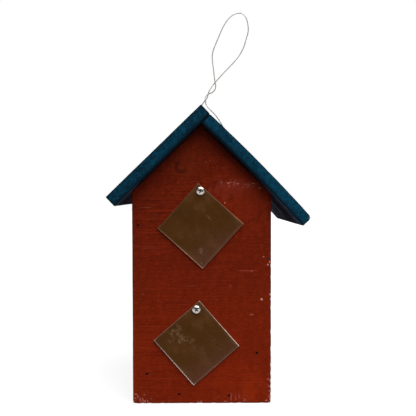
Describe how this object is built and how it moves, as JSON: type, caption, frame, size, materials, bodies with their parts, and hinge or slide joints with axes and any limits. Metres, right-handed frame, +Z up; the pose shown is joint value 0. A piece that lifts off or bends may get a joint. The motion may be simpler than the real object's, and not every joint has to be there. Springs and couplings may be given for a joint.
{
  "type": "birdhouse",
  "caption": "Tall red wooden birdhouse with a blue gable roof, square brown covers that swing on screws over its entrances, and a twisted wire hanging loop.",
  "frame": {"origin": "centre of the base's underside, midway between the front and back panels", "axes": "+Z up, -Y out of the front with the entrances, +X to the right as seen from the front"},
  "size_m": [0.2054, 0.21, 0.4228],
  "materials": {
    "red_paint": "barn-red paint on rough-sawn board",
    "blue_paint": "dark teal-blue paint on board",
    "bare_wood": "bare softwood",
    "brown_plate": "glossy brown coating, bright at the cut edges",
    "zinc_screw": "bright zinc plate",
    "galvanised_wire": "dull galvanised",
    "nail_steel": "dark, slightly rusted"
  },
  "bodies": {
    "house": {"front_panel": "red_paint", "back_panel": "red_paint", "left_side": "red_paint", "right_side": "red_paint", "floor_board": "red_paint", "room_divider": "bare_wood", "roof_left": "blue_paint", "roof_right": "blue_paint", "upper_screw": "zinc_screw", "lower_screw": "zinc_screw", "hanger_wire": "galvanised_wire", "front_nail_1": "nail_steel", "front_nail_2": "nail_steel", "front_nail_3": "nail_steel", "front_nail_4": "nail_steel", "front_nail_5": "nail_steel", "front_nail_6": "nail_steel", "front_nail_7": "nail_steel", "back_nail_1": "nail_steel", "back_nail_2": "nail_steel", "back_nail_3": "nail_steel", "back_nail_4": "nail_steel", "back_nail_5": "nail_steel", "back_nail_6": "nail_steel", "back_nail_7": "nail_steel", "back_nail_8": "nail_steel", "left_nail_1": "nail_steel", "left_nail_2": "nail_steel", "left_nail_3": "nail_steel", "left_nail_4": "nail_steel", "right_nail_1": "nail_steel", "right_nail_2": "nail_steel", "right_nail_3": "nail_steel", "right_nail_4": "nail_steel", "roof_left_nail_1": "nail_steel", "roof_left_nail_2": "nail_steel", "roof_left_nail_3": "nail_steel", "roof_left_nail_4": "nail_steel", "roof_right_nail_1": "nail_steel", "roof_right_nail_2": "nail_steel", "roof_right_nail_3": "nail_steel", "roof_right_nail_4": "nail_steel", "ridge_nail_1": "nail_steel", "ridge_nail_2": "nail_steel", "ridge_nail_3": "nail_steel"},
    "upper_cover": {"upper_cover": "brown_plate"},
    "lower_cover": {"lower_cover": "brown_plate"}
  },
  "joints": [
    {"name": "upper_cover_swing", "type": "hinge", "parent": "house", "child": "upper_cover", "pos_m": [-0.0011, -0.0907, 0.2185], "axis": [0, 1, 0], "range_deg": [-51, 51]},
    {"name": "lower_cover_swing", "type": "hinge", "parent": "house", "child": "lower_cover", "pos_m": [-0.0056, -0.0907, 0.0978], "axis": [0, 1, 0], "range_deg": [-90, 90]}
  ]
}
